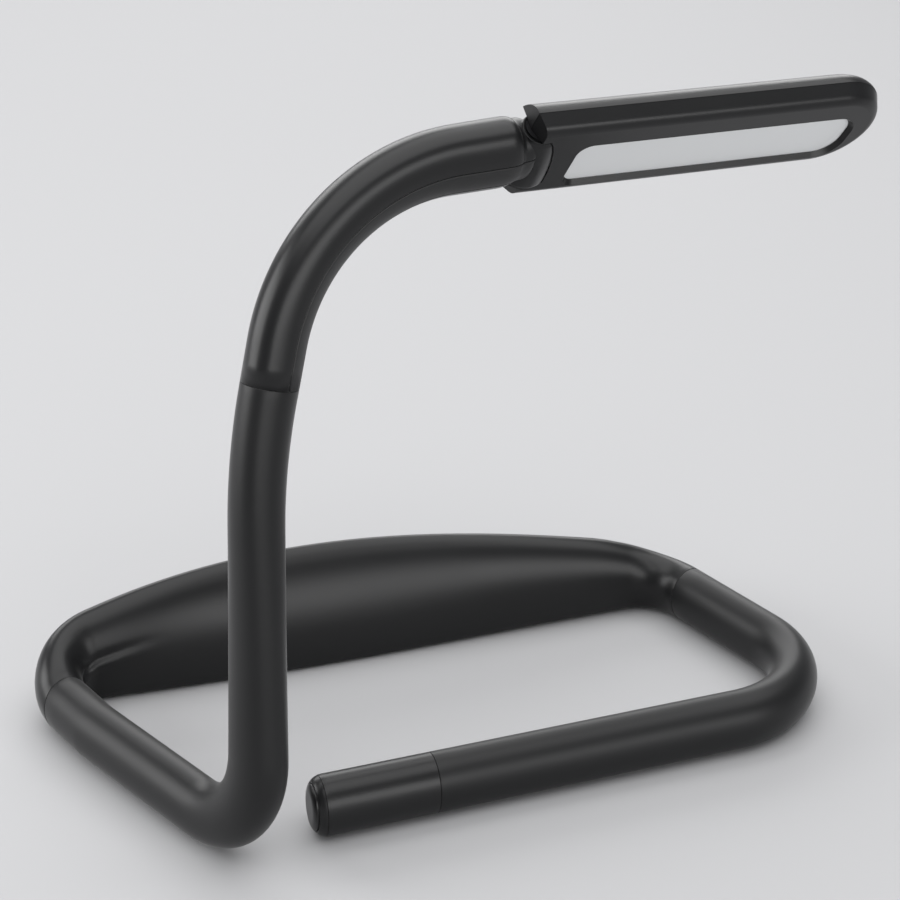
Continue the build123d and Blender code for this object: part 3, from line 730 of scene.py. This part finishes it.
def bandSections():
    stations = roundedLine(
        [loopLine["leftSeam"], bandShape["left"], bandShape["right"], loopLine["rightSeam"]],
        [bandShape["leftRadius"], bandShape["rightRadius"]],
        bandShape["step"],
    )
    lengths = alongLine(stations)
    sections = []
    for (place, way), length in zip(stations, lengths):
        share = length / lengths[-1]
        drop = max(0.0, share - bandShape["tailFrom"]) ** 2 * bandShape["tailDrop"]
        swell = abs(sin(pi * share ** bandShape["skew"])) ** (1 + drop)
        tall = (tubeShape["high"] + bandShape["rise"] * swell) / 2 * mm
        thick = (tubeShape["wide"] - bandShape["thin"] * swell) / 2 * mm
        lean = radians(bandShape["lean"]) * swell
        outward = up.cross(way).normalized()
        rise = up * cos(lean) + outward * sin(lean)
        centre = Vector((place.x, place.y, sqrt((tall * cos(lean)) ** 2 + (thick * sin(lean)) ** 2)))
        sections.append((centre, way, rise, way.cross(rise), tall, thick))
    return sections


def creasedRing(ring, centre, share):
    # A short soft fold where the tube widens into the band, on the side towards the loop
    first, last = bandShape["creaseStart"], bandShape["creaseEnd"]
    if not first < share < last:
        return ring
    along = (share - first) / (last - first)
    width = bandShape["creaseWidth"]
    fade = sin(pi * along ** bandShape["creaseSkew"]) * bandShape["creaseDepth"] * mm
    middle = bandShape["creaseHigh"] + (bandShape["creaseLow"] - bandShape["creaseHigh"]) * along
    folded = []
    for index, point in enumerate(ring):
        angle = 360 * index / len(ring)
        dip = exp(-(((angle - middle) / width) ** 2))
        lip = bandShape["lipPart"] * exp(-(((angle - middle - bandShape["lipWidths"] * width) / width) ** 2))
        folded.append(point + (centre - point).normalized() * fade * (dip - lip))
    return folded


def bandRings():
    rings = roundedEnds(bandSections(), endRim, bandShape["ringPoints"])
    centres = [sum(ring, Vector()) / len(ring) for ring in rings]
    lengths = alongLine([(centre, None) for centre in centres])
    return [
        creasedRing(ring, centre, length / lengths[-1])
        for ring, centre, length in zip(rings, centres, lengths)
    ]


band = skinMesh("neckBand", bandRings(), "root", "bandSilicone")
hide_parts("band_skin")
print("neck band made")

# Pale floor and soft studio light: panels above, behind, at the left and in front, aimed at one place
studio = {
    "floorColour": (0.38, 0.38, 0.387),
    "floorHalf": 6,
    "floorRoughness": 0.85,
    "worldColour": (0.86, 0.87, 0.90),
    "worldStrength": 0.26,
    "aim": (0, 0, 0.06),
    "topPanel": {"place": (0.05, -0.12, 1.25), "size": (2.3, 1.7), "power": 29.5},
    "backPanel": {"place": (0.25, 1.55, 0.85), "size": (2.2, 0.9), "power": 20.0},
    "leftPanel": {"place": (-1.3, 0.35, 0.45), "size": (1.2, 0.8), "power": 15.0},
    "frontPanel": {"place": (0.33, -2.0, 0.42), "size": (2.4, 0.74), "power": 24.0},
}


def addStage():
    half = studio["floorHalf"]
    mesh = bpy.data.meshes.new("floor")
    corners = [(-half, -half, 0), (half, -half, 0), (half, half, 0), (-half, half, 0)]
    mesh.from_pydata(corners, [], [(0, 1, 2, 3)])
    floor = bpy.data.objects.new("floor", mesh)
    bpy.context.scene.collection.objects.link(floor)
    material = bpy.data.materials.new("paleFloor")
    material.use_nodes = True
    shader = shaderOf(material)
    shader.inputs["Base Color"].default_value = (*studio["floorColour"], 1)
    shader.inputs["Roughness"].default_value = studio["floorRoughness"]
    mesh.materials.append(material)


def addPanel(name, values):
    data = bpy.data.lights.new(name, "AREA")
    data.shape = "RECTANGLE"
    data.size, data.size_y = values["size"]
    data.energy = values["power"]
    light = bpy.data.objects.new(name, data)
    light.location = values["place"]
    aimWay = Vector(studio["aim"]) - Vector(values["place"])
    light.rotation_euler = aimWay.to_track_quat("-Z", "Y").to_euler()
    bpy.context.scene.collection.objects.link(light)


def addWorld():
    world = bpy.data.worlds.new("studio")
    world.use_nodes = True
    background = world.node_tree.nodes["Background"]
    background.inputs["Color"].default_value = (*studio["worldColour"], 1)
    background.inputs["Strength"].default_value = studio["worldStrength"]
    bpy.context.scene.world = world


addStage()
addWorld()
for name in ("topPanel", "backPanel", "leftPanel", "frontPanel"):
    addPanel(name, studio[name])
bpy.context.scene.view_settings.view_transform = "Standard"
print("stage and lights made")
